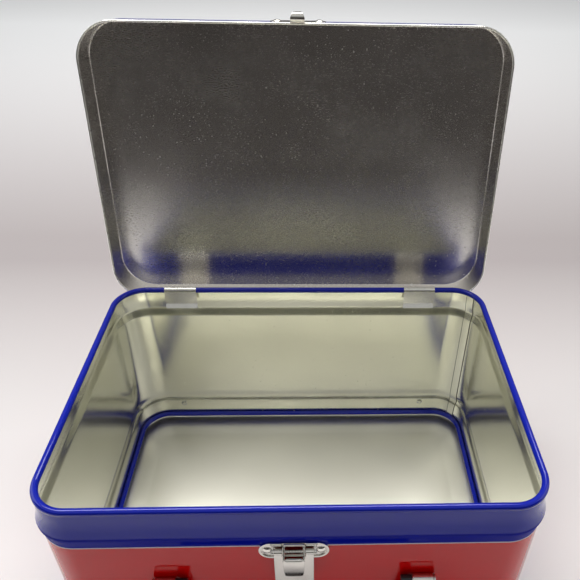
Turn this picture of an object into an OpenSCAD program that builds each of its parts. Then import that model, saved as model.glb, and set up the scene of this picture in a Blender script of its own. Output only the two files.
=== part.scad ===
// Tin lunch box: a wrapped body band, a dimpled-on bottom tray, a hinged lid,
// a draw latch and a swinging carry handle. Millimetres, +Z up.
// Origin: centre of the footprint, on the table. The latch and handle face -Y.

/* [Rim line] */
// width of the rim line, through the centre of the rolled curl
rim_w = 200; // [160:1:240]
// depth of the rim line
rim_d = 139.4; // [110:0.1:180]
// corner radius of the rim line
rim_r = 15; // [10:0.5:30]
// height between the top and bottom curls
rim_h = 99.4; // [70:0.1:140]

/* [Body sheet] */
// tinplate thickness
sheet = 0.3; // [0.2:0.05:0.6]
// outside diameter of the rolled curls
curl_d = 3; // [2:0.1:4]
// how far the wall stands outside the rim line
wall_out = 2; // [1.5:0.1:4]
// how far the crest of each shoulder bead stands out
bead_out = 3; // [2:0.1:5]

/* [Lid and tray] */
// inside face of the tray's skirt, outside the rim line
tray_in = 2.1; // [1.9:0.05:3]
// inside face of the lid's skirt, outside the rim line
lid_in = 3.15; // [3.1:0.05:3.3]
// skirt depth, from the hem to the panel
skirt_h = 16.2; // [10:0.1:25]
// diameter of the tray hem's outward roll
tray_hem_d = 1.5; // [1.2:0.1:2.5]
// diameter of the lid hem's outward roll
lid_hem_d = 1.1; // [0.9:0.1:1.2]
// hem's distance from the curl centre when the lid is shut
hem_drop = 11.2; // [9:0.1:12]
// rise of the tray's raised field
tray_crown = 0.8; // [0.1:0.1:2]
// rise of the lid's raised field
lid_crown = 0.25; // [0.1:0.05:1]
// lid angle when open, from shut
lid_open = 96.9; // [80:0.1:110]

/* [Hinges] */
// distance of each hinge from the middle
hinge_x = 66.8; // [40:0.1:85]
// width of a hinge
hinge_w = 17.4; // [12:0.1:25]
// hinge axis, outside the rim line
axis_out = 4.7; // [4.5:0.1:6]
// hinge axis, below the curl centre
axis_drop = 10.2; // [9.5:0.1:11]
// hinge pin diameter
hinge_pin_d = 1.2; // [1:0.1:2]

/* [Latch] */
// distance of the latch rivets from the middle
latch_rivet_x = 10.6; // [10.5:0.1:11.5]
// middle of the latch base, below the curl centre
latch_drop = 22.4; // [22:0.1:23]
// distance of the catch rivets from the middle
catch_rivet_x = 10; // [8:0.1:11.5]
// lever width
lever_w = 15.6; // [12:0.1:20]
// lever bottom edge, below the curl centre
lever_low = 43; // [36:0.5:50]
// catch hook width
hook_w = 6.6; // [4:0.1:6.6]

/* [Handle] */
// middle of each handle bracket
bracket_x = 52.4; // [45:0.1:70]
// bracket width
bracket_w = 8.4; // [6:0.1:12]
// handle axis, below the curl centre
handle_drop = 42.3; // [40:0.1:50]
// distance from the handle axis to the grip
handle_reach = 32; // [26:0.5:34]
// grip radius
grip_r = 5.5; // [4.5:0.1:6]
// outward lean of the hanging handle
handle_lean = 5.6; // [5:0.1:15]

/* [Part] */
// which node to draw

/* [Hidden] */
$fn = 96;
bottom_z = skirt_h + sheet + tray_crown - hem_drop; // bottom curl centre above the table
top_z = bottom_z + rim_h;
curl_r = curl_d / 2;
axis_y = rim_d / 2 + axis_out;
axis_z = top_z - axis_drop;
dimple_x = 76;
dimple_z = 8.4; // above the bottom curl centre
lever_pin = [4.1, -21.3]; // [outward, height from the curl centre]
bail_pin = [6.85, -22.9];
bail_tip = [3.65, -17.6];
handle_out = 4.7;

// outside profile of the band near each curl: [outward, distance from the curl centre]
top_edge = [
  [1.2, 0.86], [1.5, 8.2], [2.8, 13], [bead_out, 13.8], [bead_out, 14.6],
  [2.75, 15.9], [wall_out + 0.05, 19], [wall_out, 19.7]
];
low_edge = [
  [1.2, 0.86], [1.6, 10.2], [2.6, 12], [bead_out, 13.4], [bead_out, 14.2],
  [2.75, 15.6], [wall_out + 0.05, 18.9], [wall_out, 19.7]
];

// ---- shared shapes ----

// sweeps a 2-D profile (x outward from the rim line, y up) round the rim line
module ring() {
  lx = rim_w - 2 * rim_r;
  ly = rim_d - 2 * rim_r;
  for (s = [0, 1]) {
    mirror([0, s, 0]) translate([-lx / 2, rim_d / 2, 0])
      rotate([90, 0, 90]) linear_extrude(lx) children();
    mirror([s, 0, 0]) translate([rim_w / 2, ly / 2, 0])
      rotate([90, 0, 0]) linear_extrude(ly) children();
  }
  for (q = [0:3])
    translate([(q == 0 || q == 3 ? 1 : -1) * lx / 2, (q < 2 ? 1 : -1) * ly / 2, 0])
      rotate([0, 0, 90 * q]) rotate_extrude(angle = 90) translate([rim_r, 0]) children();
}

// extrudes a (y, z) profile from x0 to x1
module along_x(x0, x1) {
  translate([x0, 0, 0]) rotate([90, 0, 90]) linear_extrude(x1 - x0) children();
}

// a rod between two (y, z) points is drawn in the plane x = 0
module rod_x(x0, x1, r) {
  translate([x0, 0, 0]) rotate([0, 90, 0]) cylinder(r = r, h = x1 - x0);
}

// places children whose +Y is outward from the rim line and z = 0 is the top curl centre
module at_front() { translate([0, -rim_d / 2, top_z]) mirror([0, 1, 0]) children(); }
module at_rear() { translate([0, rim_d / 2, top_z]) children(); }

// turns children drawn for the shut lid to the open rest pose
module lid_pose() {
  translate([0, axis_y, axis_z]) rotate([-lid_open, 0, 0])
    translate([0, -axis_y, -axis_z]) children();
}

// circle sector ring, angles from +x
module arc_strip(r_out, r_in, a0, a1) {
  difference() {
    circle(r_out);
    circle(r_in);
    polygon(concat([[0, 0]], [for (i = [0:6])
      3 * r_out * [cos(a1 + (a0 + 360 - a1) * i / 6), sin(a1 + (a0 + 360 - a1) * i / 6)]]));
  }
}

// rivet along +Y from an outside face: domed head outside, shank, flat tail inside
module rivet(head_r, shank_r, grip) {
  dome = head_r * 1.6;
  intersection() {
    translate([0, head_r * 0.42 - dome, 0]) sphere(dome);
    rotate([-90, 0, 0]) cylinder(r = head_r, h = head_r);
  }
  rotate([90, 0, 0]) cylinder(r = shank_r, h = grip);
  translate([0, -grip, 0]) rotate([90, 0, 0]) cylinder(r = shank_r * 1.4, h = 0.3);
}

// two round lobes joined by a bar, in the x-z plane
module lobed_outline(lobe_x, lobe_z, lobe_r) {
  for (s = [-1, 1]) translate([s * lobe_x, lobe_z]) circle(lobe_r);
  translate([-lobe_x, lobe_z - lobe_r]) square([2 * lobe_x, 2 * lobe_r]);
}

module thick_xz(y0, y1) {
  translate([0, y1, 0]) rotate([90, 0, 0]) linear_extrude(y1 - y0) children();
}

// ---- body ----

module band_profile() {
  h = rim_h / 2;
  n = len(low_edge) - 1;
  outer = concat([for (p = top_edge) [p.x, h - p.y]],
                 [for (i = [n:-1:0]) [low_edge[i].x, low_edge[i].y - h]]);
  m = len(outer) - 1;
  polygon(concat(outer, [for (i = [m:-1:0]) [outer[i].x - sheet, outer[i].y]]));
  for (s = [0, 1]) mirror([0, s]) translate([0, h])
    arc_strip(curl_r, curl_r - sheet, -100, 205);
}

// folded side seam inside the right rear corner
module band_seam() {
  translate([rim_w / 2 - rim_r, rim_d / 2 - rim_r, bottom_z + 20.5]) rotate([0, 0, 39])
    rotate_extrude(angle = 15) translate([rim_r + wall_out - 2 * sheet, 0])
      square([sheet + 0.05, rim_h - 41]);
}

module dimples(r0, r1, y0, y1) {
  for (f = [0, 1]) mirror([0, f, 0]) for (s = [-1, 1])
    translate([s * dimple_x, rim_d / 2 + y0, bottom_z + dimple_z])
      rotate([-90, 0, 0]) cylinder(r1 = r0, r2 = r1, h = y1 - y0);
}

module body_band() color([0.68, 0.06, 0.05]) difference() {
  union() {
    translate([0, 0, (top_z + bottom_z) / 2]) ring() band_profile();
    band_seam();
    dimples(0.7, 1.3, 0.55, 1.3);
  }
  dimples(0.5, 1.05, 0.85, 1.6);
  at_front() for (s = [-1, 1]) {
    translate([s * latch_rivet_x, 0, -latch_drop]) rotate([-90, 0, 0]) cylinder(r = 1.25, h = 4);
    translate([s * bracket_x, 0, -handle_drop - 9.7]) rotate([-90, 0, 0]) cylinder(r = 1.65, h = 4);
  }
}

// skirt, rolled hem, corner and sloping border of the lid or tray; hem plane at y = 0
module cap_profile(inside, hem_r, cr, crown) {
  translate([inside + hem_r, hem_r]) arc_strip(hem_r, hem_r - sheet, 180, 450);
  translate([inside, hem_r]) square([sheet, skirt_h - cr - hem_r]);
  translate([inside - cr, skirt_h - cr]) arc_strip(cr + sheet, cr, 0, 90);
  polygon([
    [inside - cr, skirt_h], [inside - cr, skirt_h + sheet],
    [-12, skirt_h + sheet + crown], [-12, skirt_h + crown]
  ]);
}

// hem down, panel up, hem plane at z = 0
module cap_shell(inside, hem_r, cr, crown) {
  ring() cap_profile(inside, hem_r, cr, crown);
  ix = rim_w / 2 - 12;
  iy = rim_d / 2 - 12;
  translate([0, 0, skirt_h + crown]) linear_extrude(sheet) {
    square([2 * ix, 2 * (iy - rim_r + 12)], center = true);
    square([2 * (ix - rim_r + 12), 2 * iy], center = true);
    for (sx = [-1, 1]) for (sy = [-1, 1])
      translate([sx * (ix - rim_r + 12), sy * (iy - rim_r + 12)]) circle(rim_r - 12);
  }
}

module bottom_tray() color([0.05, 0.09, 0.55]) difference() {
  translate([0, 0, bottom_z + hem_drop]) mirror([0, 0, 1])
    cap_shell(tray_in, tray_hem_d / 2, 1.3, tray_crown);
  dimples(1.0, 1.25, tray_in + 0.15, tray_in + 1);
}

module lid_shell() color([0.72, 0.72, 0.70]) lid_pose() difference() {
  translate([0, 0, top_z - hem_drop]) cap_shell(lid_in, lid_hem_d / 2, 0.5, lid_crown);
  at_rear() for (s = [-1, 1])
    translate([s * hinge_x - hinge_w / 2 - 0.6, 0, -hem_drop - 1])
      cube([hinge_w + 1.2, 5, 5.3]);
  at_front() for (s = [-1, 1])
    translate([s * catch_rivet_x, 1, -3.2]) rotate([-90, 0, 0]) cylinder(r = 1.25, h = 3);
}

// ---- hinges ----

// hooks over the curl, hangs down inside to a flared foot and runs down outside to the pin
module hinge_body_leaf(x) {
  at_rear() translate([x, 0, 0]) {
    along_x(-hinge_w / 2, hinge_w / 2) {
      arc_strip(curl_r + 0.4, curl_r + 0.05, -22, 182);
      polygon([[-1.9, 0], [-1.55, 0], [-1.55, -8.3], [-3.2, -10.45], [-3.5, -10.2], [-1.9, -8.1]]);
      polygon([[1.45, -0.62], [1.8, -0.5], [1.98, -1.4], [1.98, -8.6],
               [1.66, -8.6], [1.66, -1.5]]);
    }
    along_x(-4, 4) {
      polygon([[1.66, -7.6], [1.98, -7.6], [2.3, -8.2], [4.7, -9], [4.7, -9.35],
               [2.1, -8.6], [1.66, -8.6]]);
      knuckle_profile();
    }
  }
}

module knuckle_profile() {
  translate([axis_out, -axis_drop]) difference() {
    circle(1.2);
    circle(hinge_pin_d / 2 + 0.05);
  }
}

module hinge_lid_leaf(x) {
  lid_pose() at_rear() translate([x, 0, 0]) {
    translate([-hinge_w / 2, 3.5, -6.6]) cube([hinge_w, 0.4, 10.2]);
    for (s = [0, 1]) mirror([s, 0, 0]) along_x(4.3, hinge_w / 2) {
      polygon([[3.5, -6.4], [3.9, -6.4], [4.95, -9.02], [4.5, -9.4], [3.5, -8.2]]);
      knuckle_profile();
    }
  }
  // lip that lands on the shoulder bead and stops the open lid
  at_rear() translate([x, 0, 0]) for (s = [0, 1]) mirror([s, 0, 0]) along_x(4.3, hinge_w / 2)
    polygon([[4.25, -11.25], [4.75, -11.3], [3.45, -13], [3.1, -12.75]]);
}

module hinge_pin(x) {
  at_rear() translate([x, axis_out, -axis_drop]) {
    rod_x(-hinge_w / 2 - 0.2, hinge_w / 2 + 0.2, hinge_pin_d / 2);
    for (s = [0, 1]) mirror([s, 0, 0]) rod_x(hinge_w / 2 + 0.1, hinge_w / 2 + 0.45, 0.95);
  }
}

module left_hinge_body_leaf() color([0.8, 0.8, 0.78]) hinge_body_leaf(-hinge_x);
module right_hinge_body_leaf() color([0.8, 0.8, 0.78]) hinge_body_leaf(hinge_x);
module left_hinge_lid_leaf() color([0.78, 0.78, 0.76]) hinge_lid_leaf(-hinge_x);
module right_hinge_lid_leaf() color([0.78, 0.78, 0.76]) hinge_lid_leaf(hinge_x);
module left_hinge_pin() color([0.7, 0.7, 0.7]) hinge_pin(-hinge_x);
module right_hinge_pin() color([0.7, 0.7, 0.7]) hinge_pin(hinge_x);

// ---- latch on the body ----

// dished plate with a raised rim, thicker beside the loop, and two ears for the pin
module latch_base() color([0.8, 0.79, 0.77]) at_front() {
  difference() {
    intersection() {
      thick_xz(2, 4) lobed_outline(8.9, -latch_drop, 4.95);
      along_x(-15, 15) polygon([[2.1, -28], [3.05, -28], [3.05, -17.3], [2.5, -17.3], [2.1, -19.3]]);
    }
    thick_xz(2.6, 4) lobed_outline(8.9, -latch_drop, 4.05);
    for (s = [-1, 1])
      translate([s * latch_rivet_x, 1, -latch_drop]) rotate([-90, 0, 0]) cylinder(r = 1.25, h = 3);
  }
  for (s = [0, 1]) mirror([s, 0, 0]) {
    along_x(4.8, 9.2) translate([3.1, -17.9]) circle(0.6);
    along_x(8, 8.6) difference() {
      union() {
        polygon([[2.3, -19.2], [4.1, -20.2], [4.1, -22.4], [2.3, -24.2]]);
        translate(lever_pin) circle(1.15);
      }
      translate(lever_pin) circle(0.62);
    }
  }
}

module latch_rivets() color([0.84, 0.83, 0.8]) at_front() for (s = [-1, 1])
  translate([s * latch_rivet_x, 2.63, -latch_drop]) rivet(1.9, 1.2, 1);

module latch_pin() color([0.72, 0.72, 0.72]) at_front() translate([0, lever_pin.x, lever_pin.y]) {
  rod_x(-8.75, 8.75, 0.6);
  for (s = [0, 1]) mirror([s, 0, 0]) rod_x(8.65, 9.05, 0.95);
}

// raised thumb tab, inset by e: a tapered outline under a cylinder lying along x
module thumb_tab(e) {
  low = -37.4 + e;
  intersection() {
    thick_xz(4, 8) {
      polygon([[e - 4.3, -23.45], [4.3 - e, -23.45], [3.6 - e, low + 2], [e - 3.6, low + 2]]);
      translate([e - 1.6, low]) square([3.2 - 2 * e, 3]);
      for (s = [-1, 1]) translate([s * (1.6 - e), low + 2]) circle(2);
    }
    translate([0, -25.4, -26]) rod_x(-5, 5, 32.5 - e);
  }
}

module latch_lever() color([0.66, 0.65, 0.65]) at_front() {
  half = lever_w / 2;
  difference() {
    union() {
      thick_xz(4.4, 5) {
        translate([-half, -lever_low + 3]) square([lever_w, lever_low - 26.5]);
        translate([-half + 3, -lever_low]) square([lever_w - 6, 4]);
        for (s = [-1, 1]) translate([s * (half - 3), -lever_low + 3]) circle(3);
        for (s = [0, 1]) mirror([s, 0]) translate([4.6, -24]) square([half - 4.6, 2]);
      }
      intersection() {
        thumb_tab(0);
        translate([-5, 4.4, -40]) cube([10, 4, 20]);
      }
    }
    thumb_tab(0.6);
  }
  for (s = [0, 1]) mirror([s, 0, 0]) along_x(4.6, half) translate(lever_pin) difference() {
    circle(1.15);
    circle(0.65);
  }
  along_x(-3.1, 3.1) translate(bail_pin) difference() {
    circle(0.85);
    circle(0.5);
  }
}

module latch_bail() color([0.88, 0.86, 0.8]) at_front() translate([0, bail_pin.x, bail_pin.y]) {
  run = bail_tip - bail_pin;
  r = 0.45;
  bend = 0.7;
  w = 3.95;
  rotate([-atan2(run.x, run.y), 0, 0]) for (e = [0, 1]) {
    translate([0, 0, e * norm(run)]) rod_x(bend - w, w - bend, r);
    mirror([e, 0, 0]) {
      translate([w, 0, bend]) cylinder(r = r, h = norm(run) - 2 * bend);
      for (t = [0, 1])
        translate([w - bend, 0, t * norm(run) + (1 - 2 * t) * bend]) rotate([90, 90 * (1 - t), 0])
          rotate_extrude(angle = 90) translate([bend, 0]) circle(r);
    }
  }
}

// ---- catch on the lid, drawn for the shut lid ----

module hook_profile() {
  polygon([[3.5, -6], [4.1, -6], [4.1, -7.2], [5.05, -8.6], [5.05, -15.4], [4.45, -15.4],
           [4.45, -8.6], [3.5, -7.4]]);
  translate([6.85, -15.4]) arc_strip(2.4, 1.8, 180, 360);
  translate([8.65, -15.4]) square([0.6, 1.6]);
}

module catch_plate() color([0.84, 0.82, 0.76]) lid_pose() at_front() {
  difference() {
    thick_xz(3.5, 4.1) lobed_outline(8.9, -3.2, 4.4);
    for (s = [-1, 1])
      translate([s * catch_rivet_x, 3, -3.2]) rotate([-90, 0, 0]) cylinder(r = 1.25, h = 3);
  }
  intersection() {
    along_x(-hook_w / 2, hook_w / 2) hook_profile();
    translate([0, 0, -18]) linear_extrude(15) {
      translate([-hook_w / 2, 2]) square([hook_w, 4.4]);
      translate([0, 6.4]) circle(hook_w / 2);
    }
  }
}

module catch_rivets() color([0.86, 0.85, 0.8]) lid_pose() at_front() for (s = [-1, 1])
  translate([s * catch_rivet_x, 4.13, -3.2]) rivet(2, 1.2, 1);

// ---- handle ----

module handle_bracket(s) {
  at_front() mirror([s < 0 ? 1 : 0, 0, 0]) {
    x0 = bracket_x - bracket_w / 2;
    along_x(x0, x0 + bracket_w) difference() {
      union() {
        translate([handle_out, -handle_drop]) circle(2.55);
        translate([2.1, -handle_drop - 4]) square([0.8, 4]);
      }
      translate([handle_out, -handle_drop]) circle(1.75);
    }
    thick_xz(2.1, 2.9) difference() {
      union() {
        translate([x0, -handle_drop - 11]) square([bracket_w, 8]);
        translate([bracket_x, -handle_drop - 11]) circle(bracket_w / 2);
      }
      translate([bracket_x, -handle_drop - 9.7]) circle(1.65);
    }
  }
}

module left_handle_bracket() color([0.82, 0.82, 0.8]) handle_bracket(-1);
module right_handle_bracket() color([0.82, 0.82, 0.8]) handle_bracket(1);

module bracket_rivets() color([0.84, 0.84, 0.82]) at_front() for (s = [-1, 1])
  translate([s * bracket_x, 2.93, -handle_drop - 9.7]) rivet(2.8, 1.6, 1.3);

// hangs below its axis, in the plane x-z
module handle() color([0.06, 0.06, 0.065])
  at_front() translate([0, handle_out, -handle_drop]) rotate([handle_lean, 0, 0]) {
    arm_x = 45.7;
    bend = 10;
    difference() {
      union() for (s = [0, 1]) mirror([s, 0, 0]) {
        rod_x(arm_x - 2.2, arm_x + 2.2, 2.2);
        translate([arm_x, 0, 0]) mirror([0, 0, 1])
          cylinder(r1 = 2.2, r2 = 4, h = handle_reach - bend);
        translate([arm_x - bend, 0, bend - handle_reach]) rotate([90, 90, 0])
          rotate_extrude(angle = 90) translate([bend, 0]) circle(4);
        translate([0, 0, -handle_reach]) rod_x(0, arm_x - bend, 4);
        translate([0, 0, -handle_reach]) rod_x(0, 27, grip_r);
        translate([27, 0, -handle_reach]) rotate([0, 90, 0])
          cylinder(r1 = grip_r, r2 = 4, h = 3);
      }
      for (s = [0, 1]) mirror([s, 0, 0]) rod_x(arm_x - 1.6, arm_x + 4, 1.72);
    }
  }

module handle_pin(s) {
  at_front() mirror([s < 0 ? 1 : 0, 0, 0]) translate([0, handle_out, -handle_drop]) {
    rod_x(44.3, bracket_x + bracket_w / 2 + 0.4, 1.7);
    rod_x(bracket_x + bracket_w / 2 + 0.2, bracket_x + bracket_w / 2 + 1, 2.3);
  }
}

module left_handle_pin() color([0.75, 0.75, 0.74]) handle_pin(-1);
module right_handle_pin() color([0.75, 0.75, 0.74]) handle_pin(1);

body_band();
bottom_tray();
lid_shell();
left_hinge_body_leaf();
right_hinge_body_leaf();
left_hinge_lid_leaf();
right_hinge_lid_leaf();
left_hinge_pin();
right_hinge_pin();
latch_base();
latch_rivets();
latch_pin();
latch_lever();
latch_bail();
catch_plate();
catch_rivets();
left_handle_bracket();
right_handle_bracket();
bracket_rivets();
handle();
left_handle_pin();
right_handle_pin();
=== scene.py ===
"""Tin lunch box: printed body band, bottom tray and hinged lid, with plated hardware."""
import math

import bpy
from mathutils import Matrix, Vector


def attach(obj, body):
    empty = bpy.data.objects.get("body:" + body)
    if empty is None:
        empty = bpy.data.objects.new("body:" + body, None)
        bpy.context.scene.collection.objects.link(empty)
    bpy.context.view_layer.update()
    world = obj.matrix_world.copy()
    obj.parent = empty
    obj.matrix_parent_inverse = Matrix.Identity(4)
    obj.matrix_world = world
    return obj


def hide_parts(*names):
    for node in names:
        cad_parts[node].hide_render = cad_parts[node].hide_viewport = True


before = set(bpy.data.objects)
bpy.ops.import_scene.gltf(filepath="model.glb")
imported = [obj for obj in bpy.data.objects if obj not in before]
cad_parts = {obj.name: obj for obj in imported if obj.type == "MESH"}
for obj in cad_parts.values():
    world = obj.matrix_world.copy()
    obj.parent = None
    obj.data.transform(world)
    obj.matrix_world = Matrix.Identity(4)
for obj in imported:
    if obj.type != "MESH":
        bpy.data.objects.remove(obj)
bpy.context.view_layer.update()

MM = 0.001
# the same sizes as the CAD model, in mm
RIM_W, RIM_D, RIM_R, RIM_H = 200.0, 139.4, 15.0, 99.4
SHEET = 0.3
BOTTOM_Z = 6.1
TOP_Z = BOTTOM_Z + RIM_H
HEM_DROP = 11.2
SKIRT_H = 16.2
# inside of the skirt, hem roll diameter, corner radius and rise of the panel
TRAY = (2.1, 1.5, 1.3, 0.8)
LID = (3.15, 1.1, 0.5, 0.25)
DIMPLE = (76, 8.4)  # distance from the middle, height above the bottom curl
# how far from the rim line each zone of the band ends: printed collar, bead flank painted darker as painted
# shade, printed cream line
COLLAR_END, FLANK_END, CREAM_END = 13.2, 20.2, 20.7
CURL_DEPTH = 0.9
SEAM_LIFT = 0.4
AXIS_Y, AXIS_Z = RIM_D / 2 + 4.7, TOP_Z - 10.2
LID_OPEN = math.radians(96.9)


# ---- camera, light and floor ----

def make_camera():
    pitch, yaw, roll = (math.radians(a) for a in (34.944, 2.676, 1.592))
    forward = Vector((math.sin(yaw) * math.cos(pitch), math.cos(yaw) * math.cos(pitch), -math.sin(pitch)))
    level = Vector((math.cos(yaw), -math.sin(yaw), 0))
    above = level.cross(forward)
    right = level * math.cos(roll) + above * math.sin(roll)
    up = above * math.cos(roll) - level * math.sin(roll)
    data = bpy.data.cameras.new("camera")
    data.lens, data.sensor_width = 37.95, 36
    data.shift_x, data.shift_y = -0.0847, -0.0214
    data.clip_start = 0.01
    camera = bpy.data.objects.new("camera", data)
    camera.matrix_world = Matrix((right, up, -forward)).transposed().to_4x4()
    camera.location = Vector((8.4, -208.1, 308.4)) * MM
    bpy.context.collection.objects.link(camera)
    bpy.context.scene.camera = camera


def area_light(name, place, target, size, power, color=(1, 1, 1)):
    data = bpy.data.lights.new(name, "AREA")
    data.shape, (data.size, data.size_y) = "RECTANGLE", size
    data.energy, data.color = power, color
    light = bpy.data.objects.new(name, data)
    light.location = place
    light.rotation_euler = (Vector(target) - Vector(place)).to_track_quat("-Z", "Y").to_euler()
    bpy.context.collection.objects.link(light)


def make_studio():
    area_light("overhead", (-0.1, 0.42, 1.15), (0, 0.1, 0), (1.1, 0.45), 15, (1.0, 0.99, 0.96))
    area_light("left_window", (-1.2, 0.3, 0.7), (0, 0, 0.1), (0.8, 0.9), 4, (0.96, 0.98, 1.0))
    area_light("right_fill", (1.2, 0.0, 0.6), (0, 0, 0.1), (0.8, 0.8), 2.5, (1.0, 0.97, 0.94))
    floor = bpy.data.meshes.new("floor")
    floor.from_pydata([(-3, -0.38, 0), (3, -0.38, 0), (3, 6, 0), (-3, 6, 0)], [], [(0, 1, 2, 3)])
    obj = bpy.data.objects.new("floor", floor)
    bpy.context.collection.objects.link(obj)
    m = Paint("floor_paper", (0.7, 0.69, 0.7), 0.6)
    # painted shade: the floor paper darkens from the front to a dark band at y 0.26 to 0.3 m, then brightens
    # again towards the back
    far = m.node("ShaderNodeSeparateXYZ", {0: m.place}).outputs[1]
    painted_floor_shade = m.mix(m.steps(far, -0.02, 0.26), (0.74, 0.72, 0.72), (0.34, 0.31, 0.315))
    m.set(color=m.mix(m.steps(far, 0.3, 1.15), painted_floor_shade, (0.95, 0.96, 0.98)))
    floor.materials.append(m.material)


def make_world():
    world = bpy.data.worlds.new("room")
    bpy.context.scene.world = world
    world.use_nodes = True
    tree = world.node_tree
    where = tree.nodes.new("ShaderNodeTexCoord").outputs["Generated"]
    split = tree.nodes.new("ShaderNodeSeparateXYZ")
    tree.links.new(where, split.inputs[0])
    rise = tree.nodes.new("ShaderNodeValToRGB")
    stops = rise.color_ramp.elements  # the last stop stays as it comes, white at 1.0
    stops[0].position, stops[0].color = 0.3, (0.05, 0.042, 0.036, 1)
    for at, color in ((0.56, (0.10, 0.09, 0.085)), (0.7, (0.48, 0.48, 0.48)), (0.86, (1.4, 1.4, 1.38))):
        stops.new(at).color = (*color, 1)
    half = tree.nodes.new("ShaderNodeMath")
    half.operation = "MULTIPLY_ADD"
    half.inputs[1].default_value, half.inputs[2].default_value = 0.5, 0.5
    tree.links.new(split.outputs[2], half.inputs[0])
    tree.links.new(half.outputs[0], rise.inputs[0])
    tree.links.new(rise.outputs[0], tree.nodes["Background"].inputs[0])
    tree.nodes["Background"].inputs[1].default_value = 0.45


# ---- materials ----

class Paint:
    """A Principled material, with short ways to add procedural detail to it."""

    def __init__(self, name, color, roughness, **values):
        self.material = bpy.data.materials.new(name)
        self.material.use_nodes = True
        self.tree = self.material.node_tree
        self.shader = self.tree.nodes["Principled BSDF"]
        self.shader.inputs["Base Color"].default_value = (*color, 1)
        self.shader.inputs["Roughness"].default_value = roughness
        for key, value in values.items():
            self.shader.inputs[key.replace("_", " ")].default_value = value
        self.place = self.tree.nodes.new("ShaderNodeTexCoord").outputs["Object"]

    def node(self, kind, values=(), **props):
        n = self.tree.nodes.new(kind)
        for key, value in props.items():
            setattr(n, key, value)
        for key, value in dict(values).items():
            if isinstance(value, bpy.types.NodeSocket):
                self.tree.links.new(value, n.inputs[key])
            elif isinstance(value, tuple) and len(value) == 3 and n.inputs[key].type == "RGBA":
                n.inputs[key].default_value = (*value, 1)
            else:
                n.inputs[key].default_value = value
        return n

    def set(self, **sockets):
        names = {"color": "Base Color", "rough": "Roughness", "normal": "Normal"}
        for key, value in sockets.items():
            self.tree.links.new(value, self.shader.inputs[names[key]])

    def noise(self, scale, detail=3, stretch=(1, 1, 1), rough=0.5):
        at = self.node("ShaderNodeMapping", {"Vector": self.place, "Scale": stretch}).outputs[0]
        return self.node("ShaderNodeTexNoise", {"Vector": at, "Scale": scale, "Detail": detail,
                                                "Roughness": rough}).outputs[0]

    def steps(self, fac, low, high):
        return self.node("ShaderNodeMapRange", {"Value": fac, "From Min": low, "From Max": high}).outputs[0]

    def span(self, fac, low, high):
        return self.node("ShaderNodeMapRange", {"Value": fac, "To Min": low, "To Max": high}).outputs[0]

    def calc(self, how, a, b):
        return self.node("ShaderNodeMath", {0: a, 1: b}, operation=how).outputs[0]

    def mix(self, fac, a, b):
        return self.node("ShaderNodeMix", {0: fac, 6: a, 7: b}, data_type="RGBA").outputs[2]

    def bump(self, height, depth, after=None):
        values = {"Height": height, "Strength": 1.0, "Distance": depth}
        if after is not None:
            values["Normal"] = after
        return self.node("ShaderNodeBump", values).outputs[0]

    def soft_edges(self, radius):
        return self.node("ShaderNodeBevel", {"Radius": radius}, samples=4).outputs[0]


def tin(name, color, rough, specks):
    """Bare tinplate: fine rolling grain, cloudy tarnish and a scatter of pale specks."""
    m = Paint(name, color, rough, Metallic=1.0)
    grain = m.noise(2400, 4, (0.25, 1, 1), 0.7)
    cloud = m.noise(20, 3)
    speck = m.calc("MULTIPLY", m.steps(m.noise(900, 1), 0.735, 0.77), specks)
    tone = m.mix(m.steps(m.noise(9, 2), 0.3, 0.75), color, tuple(c * 0.78 for c in color))
    finish = m.calc("ADD", m.span(grain, rough - 0.08, rough + 0.08), m.span(cloud, -0.04, 0.05))
    m.set(color=m.mix(speck, tone, (0.95, 0.95, 0.9)), rough=m.calc("ADD", finish, speck),
          normal=m.bump(grain, 0.000003))
    return m.material


def litho(name, color, varnish=1.0):
    """Printed and varnished tinplate: matt ink under a clear, slightly wavy varnish."""
    m = Paint(name, color, 0.4, Coat_Weight=varnish, Coat_Roughness=0.03, Coat_IOR=1.42,
              Specular_IOR_Level=0.0)
    ink = m.mix(m.steps(m.noise(60, 4), 0.3, 0.75), color, tuple(c * 0.9 for c in color))
    m.set(color=m.mix(m.steps(m.noise(1800, 2), 0.35, 0.7), ink, tuple(c * 0.94 for c in color)),
          rough=m.span(m.noise(300, 2), 0.35, 0.45))
    m.tree.links.new(m.bump(m.noise(160, 2), 0.00001), m.shader.inputs["Coat Normal"])
    return m.material


def plate(name, color, rough, edge=0.00025):
    """Nickel or tin plated hardware: softened edges, fine scratches and dull patches."""
    m = Paint(name, color, rough, Metallic=1.0)
    scratch = m.noise(2600, 2, (1, 0.15, 0.15), 0.7)
    dull = m.noise(90, 4)
    m.set(color=m.mix(m.steps(dull, 0.5, 0.8), color, tuple(c * 0.82 for c in color)),
          rough=m.calc("ADD", m.span(scratch, rough - 0.04, rough + 0.06), m.span(dull, -0.02, 0.06)),
          normal=m.bump(scratch, 0.000005, m.soft_edges(edge)))
    return m.material


def moulded(name, color):
    """Glossy moulded plastic with faint handling marks."""
    m = Paint(name, color, 0.22)
    marks = m.noise(700, 3, (0.2, 1, 1), 0.7)
    m.set(color=m.mix(m.noise(40, 3), color, tuple(c * 1.5 for c in color)),
          rough=m.calc("ADD", m.span(marks, 0.14, 0.3), m.span(m.noise(30, 3), -0.03, 0.05)),
          normal=m.bump(m.noise(400, 3), 0.00001))
    return m.material


# ---- sheet metal ----

def arc(cx, cy, r, a0, a1, n):
    return [(cx + r * math.cos(math.radians(a0 + (a1 - a0) * i / n)),
             cy + r * math.sin(math.radians(a0 + (a1 - a0) * i / n))) for i in range(n + 1)]


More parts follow.
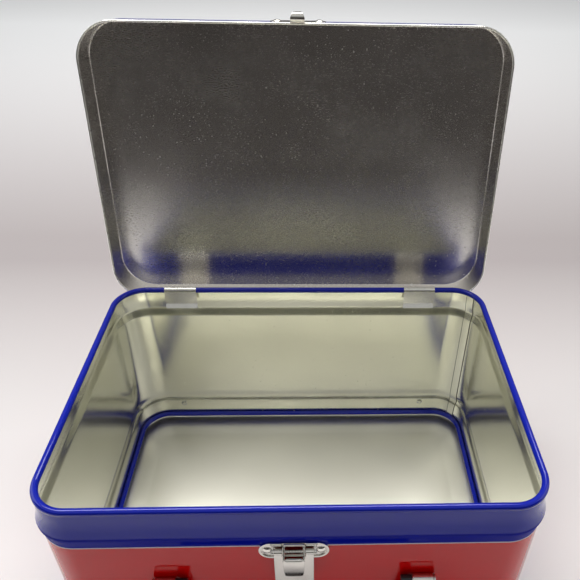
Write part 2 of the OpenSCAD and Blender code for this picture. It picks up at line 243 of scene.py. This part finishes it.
def eased(points, rounds=2):
    """Rounds the corners of an open polyline, keeping its ends."""
    for _ in range(rounds):
        new = [points[0]]
        for (ax, ay), (bx, by) in zip(points, points[1:]):
            new += [(ax * 0.75 + bx * 0.25, ay * 0.75 + by * 0.25),
                    (ax * 0.25 + bx * 0.75, ay * 0.25 + by * 0.75)]
        points = new + [points[-1]]
    return points


def both_faces(line, thickness):
    """The left and right offsets of an open centreline, each as long as the line."""
    left, right = [], []
    for i, (x, y) in enumerate(line):
        ax, ay = line[max(i - 1, 0)]
        bx, by = line[min(i + 1, len(line) - 1)]
        run = math.hypot(bx - ax, by - ay)
        nx, ny = -(by - ay) / run * thickness / 2, (bx - ax) / run * thickness / 2
        left.append((x + nx, y + ny))
        right.append((x - nx, y - ny))
    return left, right


def rim_stations(corner=18, along=30):
    """Points round the rim line with the outward direction at each."""
    ix, iy = RIM_W / 2 - RIM_R, RIM_D / 2 - RIM_R
    stations = []
    for q, (sx, sy) in enumerate(((1, 1), (-1, 1), (-1, -1), (1, -1))):
        for i in range(corner + 1):
            a = math.radians(90 * q + 90 * i / corner)
            d = (math.cos(a), math.sin(a))
            stations.append((sx * ix + RIM_R * d[0], sy * iy + RIM_R * d[1], d))
        ex, ey = ((-1, 1), (-1, -1), (1, -1), (1, 1))[q]
        x0, y0, d = stations[-1]
        x1, y1 = ex * ix + RIM_R * d[0], ey * iy + RIM_R * d[1]
        for i in range(1, along):
            t = i / along
            stations.append((x0 + (x1 - x0) * t, y0 + (y1 - y0) * t, d))
    return stations


def mesh_object(name, verts, faces, materials, slots, sharp):
    """A smooth mesh with a material index per face and sharp edges above an angle in degrees."""
    mesh = bpy.data.meshes.new(name)
    mesh.from_pydata(verts, [], faces)
    for material in materials:
        mesh.materials.append(material)
    mesh.polygons.foreach_set("material_index", slots)
    mesh.polygons.foreach_set("use_smooth", [True] * len(faces))
    mesh.update()
    mesh.set_sharp_from_angle(angle=math.radians(sharp))
    obj = bpy.data.objects.new(name, mesh)
    bpy.context.collection.objects.link(obj)
    return obj


def sweep(name, left, right, zones, materials, lid=False, fill=False):
    """Sweeps a sheet round the rim. zones gives the material index of each profile span, left then right."""
    loop = left + right[::-1]
    n = len(loop)
    stations = rim_stations()
    verts = [(x + d[0] * o, y + d[1] * o, z) for x, y, d in stations for o, z in loop]
    faces, slots = [], []
    for s in range(len(stations)):
        a, b = s * n, (s + 1) % len(stations) * n
        for i in range(n):
            j = (i + 1) % n
            if fill and i == len(left) - 1:
                continue
            faces.append((a + i, b + i, b + j, a + j))
            slots.append(zones[i])
    if fill:
        low, high = len(left) - 1, len(left)
        faces.append(tuple(s * n + low for s in reversed(range(len(stations)))))
        faces.append(tuple(s * n + high for s in range(len(stations))))
        slots += [zones[low - 1], zones[high]]
    if lid:
        turn = Matrix.Rotation(-LID_OPEN, 3, "X")
        pivot = Vector((0, AXIS_Y, AXIS_Z))
        verts = [turn @ (Vector(v) - pivot) + pivot for v in verts]
    return mesh_object(name, [Vector(v) * MM for v in verts], faces, materials, slots, 50)


def band_line():
    """Centreline of the band from the bottom curl's tip to the top curl's tip."""
    high = [(1.1, -0.9), (1.32, -7.9), (2.62, -13.0), (2.85, -13.8), (2.85, -14.6),
            (2.6, -15.9), (1.9, -19.0)]
    low = [(1.1, -0.9), (1.28, -4.5), (1.45, -10.2), (2.45, -12.0), (2.85, -13.3), (2.85, -14.3),
           (2.55, -15.7), (1.9, -18.6)]
    wall = [(1.85, -19.7), (1.85, -20.2), (1.85, -20.7), (1.85, -24)]
    curl = arc(0, 0, 1.35, -35, 290, 34)[1:]
    top = [(o, TOP_Z + z) for o, z in eased(high + wall)[::-1] + curl]
    return [(o, BOTTOM_Z - z) for o, z in eased(low + wall)[::-1] + curl][::-1] + top


def cap_line(inside, roll, corner_r, crown):
    """Centreline of a cap from the hem's tip to the flat of the panel, hem plane at 0."""
    half = SHEET / 2
    hem = arc(inside + roll / 2, roll / 2, roll / 2 - half, 450, 180, 24)
    corner = arc(inside - corner_r, SKIRT_H - corner_r, corner_r + half, 0, 88, 8)
    start = inside - corner_r
    slope = [(o, SKIRT_H + half + crown * (start - o) / (start + 12)) for o in (-2, -6, -10.5, -11.5, -12)]
    flat = [(-13, SKIRT_H + half + crown)]
    return hem + [(inside + half, 4), (inside + half, 10)] + corner + slope + flat


def zone_list(left, right, choose_left, choose_right):
    loop = left + right[::-1]
    middles = [((a[0] + b[0]) / 2, (a[1] + b[1]) / 2) for a, b in zip(loop, loop[1:] + loop[:1])]
    return [(choose_left if i < len(left) else choose_right)(m) for i, m in enumerate(middles)]


def make_seam(bare, groove):
    """The folded side seam: a raised strip between two shallow grooves, inside the right rear corner; the
    grooves take a dark tin as painted shadow lines.
    """
    middle = [(o, z) for o, z in band_line() if o > 0.9]
    inner = min(both_faces(middle, SHEET))
    # angle round the corner and height above the wall: groove, strip, groove
    steps = ((37.6, 0.02), (38.6, 0.04), (39, SEAM_LIFT), (46.5, SEAM_LIFT), (54, SEAM_LIFT),
             (54.4, 0.04), (55.4, 0.02))
    verts = []
    for degrees, lift in steps:
        d = Vector((math.cos(math.radians(degrees)), math.sin(math.radians(degrees)), 0))
        for o, z in inner:
            at = Vector((RIM_W / 2 - RIM_R, RIM_D / 2 - RIM_R, z)) + d * (RIM_R + o - lift)
            verts.append(at * MM)
    n = len(inner)
    faces = [(k * n + i, (k + 1) * n + i, (k + 1) * n + i + 1, k * n + i + 1)
             for k in range(len(steps) - 1) for i in range(n - 1)]
    # faces marked 1 take the dark tin: painted shadow lines along both edges of the strip
    in_shadow_line = (1, 1, 0, 0, 1, 1)
    slots = [slot for slot in in_shadow_line for _ in range(n - 1)]
    return [mesh_object("side_seam", verts, faces, [bare, groove], slots, 25)]


def make_dimples(bare):
    """Punched dimples that hold the tray, seen as small domes inside the band."""
    rings = ((1.7, 1.28), (1.25, 0.8), (0.8, 0.6), (0.3, 0.57))  # radius, outward offset
    n = 20
    faces = [(j * n + k, j * n + (k + 1) % n, (j + 1) * n + (k + 1) % n, (j + 1) * n + k)
             for j in range(len(rings) - 1) for k in range(n)]
    faces.append(tuple(range((len(rings) - 1) * n, len(rings) * n)))
    made = []
    for side in (-1, 1):
        for x in (-DIMPLE[0], DIMPLE[0]):
            verts = [((x + r * math.cos(a)) * MM, side * (RIM_D / 2 + o) * MM,
                      (BOTTOM_Z + DIMPLE[1] + r * math.sin(a)) * MM)
                     for r, o in rings for a in (math.tau * k / n for k in range(n))]
            made.append(mesh_object("tray_dimple", verts, faces, [bare], [0] * len(faces), 60))
    return made


def make_band(blue, red, cream, bare, flank, groove):
    """flank is the band round the shoulder bead, painted as shade with a darker blue under less varnish."""
    line = band_line()
    left, right = both_faces(line, SHEET)

    def outside(m):
        depth = min(TOP_Z - m[1], m[1] - BOTTOM_Z)
        if depth < COLLAR_END:
            return 0
        # 4 is the bead flank, a darker and less glossy blue as painted shade
        return 4 if depth < FLANK_END else 2 if depth < CREAM_END else 1

    def inside(m):
        return 0 if min(TOP_Z - m[1], m[1] - BOTTOM_Z) < CURL_DEPTH and m[0] < 1.0 else 3

    band = sweep("printed_band", left, right, zone_list(left, right, inside, outside),
                 [blue, red, cream, bare, flank])
    for piece in [band] + make_seam(bare, groove) + make_dimples(bare):
        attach(piece, "body")
        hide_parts("body_band")


def make_cap(name, node, body, shape, materials, lid):
    """materials: printed skirt, printed panel, bare inside and rolled hem."""
    roll = shape[1]
    z0 = TOP_Z - HEM_DROP if lid else BOTTOM_Z + HEM_DROP
    line = [(o, z0 + t if lid else z0 - t) for o, t in cap_line(*shape)]
    left, right = both_faces(line, SHEET)

    def outside(m):
        depth = abs(m[1] - z0)
        return 3 if depth < roll + 0.1 else 0 if depth < SKIRT_H - 0.5 else 1

    def inside(m):
        return 3 if abs(m[1] - z0) < roll else 2

    pick = (inside, outside) if lid else (outside, inside)
    obj = sweep(name, left, right, zone_list(left, right, *pick), materials, lid=lid, fill=True)
    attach(obj, body)
    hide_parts(node)


# ---- hardware ----

def paint_node(node, material):
    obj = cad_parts[node]
    if not obj.material_slots:
        obj.data.materials.append(material)
    for s in obj.material_slots:
        s.material = material


def finish_hardware():
    nickel = plate("nickel_plate", (0.80, 0.78, 0.73), 0.16)
    bright = plate("bright_rivet", (0.84, 0.82, 0.77), 0.12)
    leaf = plate("hinge_plate", (0.80, 0.79, 0.74), 0.2, 0.0001)
    wire = plate("drawn_wire", (0.66, 0.65, 0.62), 0.24)
    dark = moulded("handle_plastic", (0.012, 0.012, 0.014))
    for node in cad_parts:
        if "rivets" in node:
            paint_node(node, bright)
        elif "hinge" in node and "leaf" in node:
            paint_node(node, leaf)
        elif node == "handle":
            paint_node(node, dark)
        elif "pin" in node:
            paint_node(node, wire)
        elif node not in ("body_band", "bottom_tray", "lid_shell"):
            paint_node(node, nickel)


bpy.context.scene.view_settings.view_transform = "Standard"
make_camera()
make_studio()
make_world()
BLUE = litho("blue_litho", (0.0015, 0.01, 0.33))
RED = litho("red_litho", (0.6, 0.001, 0.001))
CREAM = litho("cream_line", (0.55, 0.5, 0.55))
TIN = tin("bare_tin", (0.88, 0.88, 0.78), 0.18, 0.1)
PAN_TIN = tin("pan_tin", (0.92, 0.90, 0.81), 0.36, 0.1)
HEM = plate("rolled_hem", (0.86, 0.85, 0.80), 0.25, 0.0001)
LID_TIN = tin("lid_tin", (0.93, 0.90, 0.86), 0.25, 0.3)
# the bead flank's darker, less varnished blue is painted shade
# the seam groove's dark tin is painted shadow lines
make_band(BLUE, RED, CREAM, TIN, litho("blue_bead_flank_painted_shade", (0.0012, 0.006, 0.3), 0.2),
          tin("seam_groove_painted_shadow", (0.16, 0.15, 0.13), 0.4, 0.1))
make_cap("printed_lid", "lid_shell", "lid", LID, [BLUE, RED, LID_TIN, HEM], True)
make_cap("bottom_pan", "bottom_tray", "body", TRAY, [BLUE, BLUE, PAN_TIN, HEM], False)
finish_hardware()
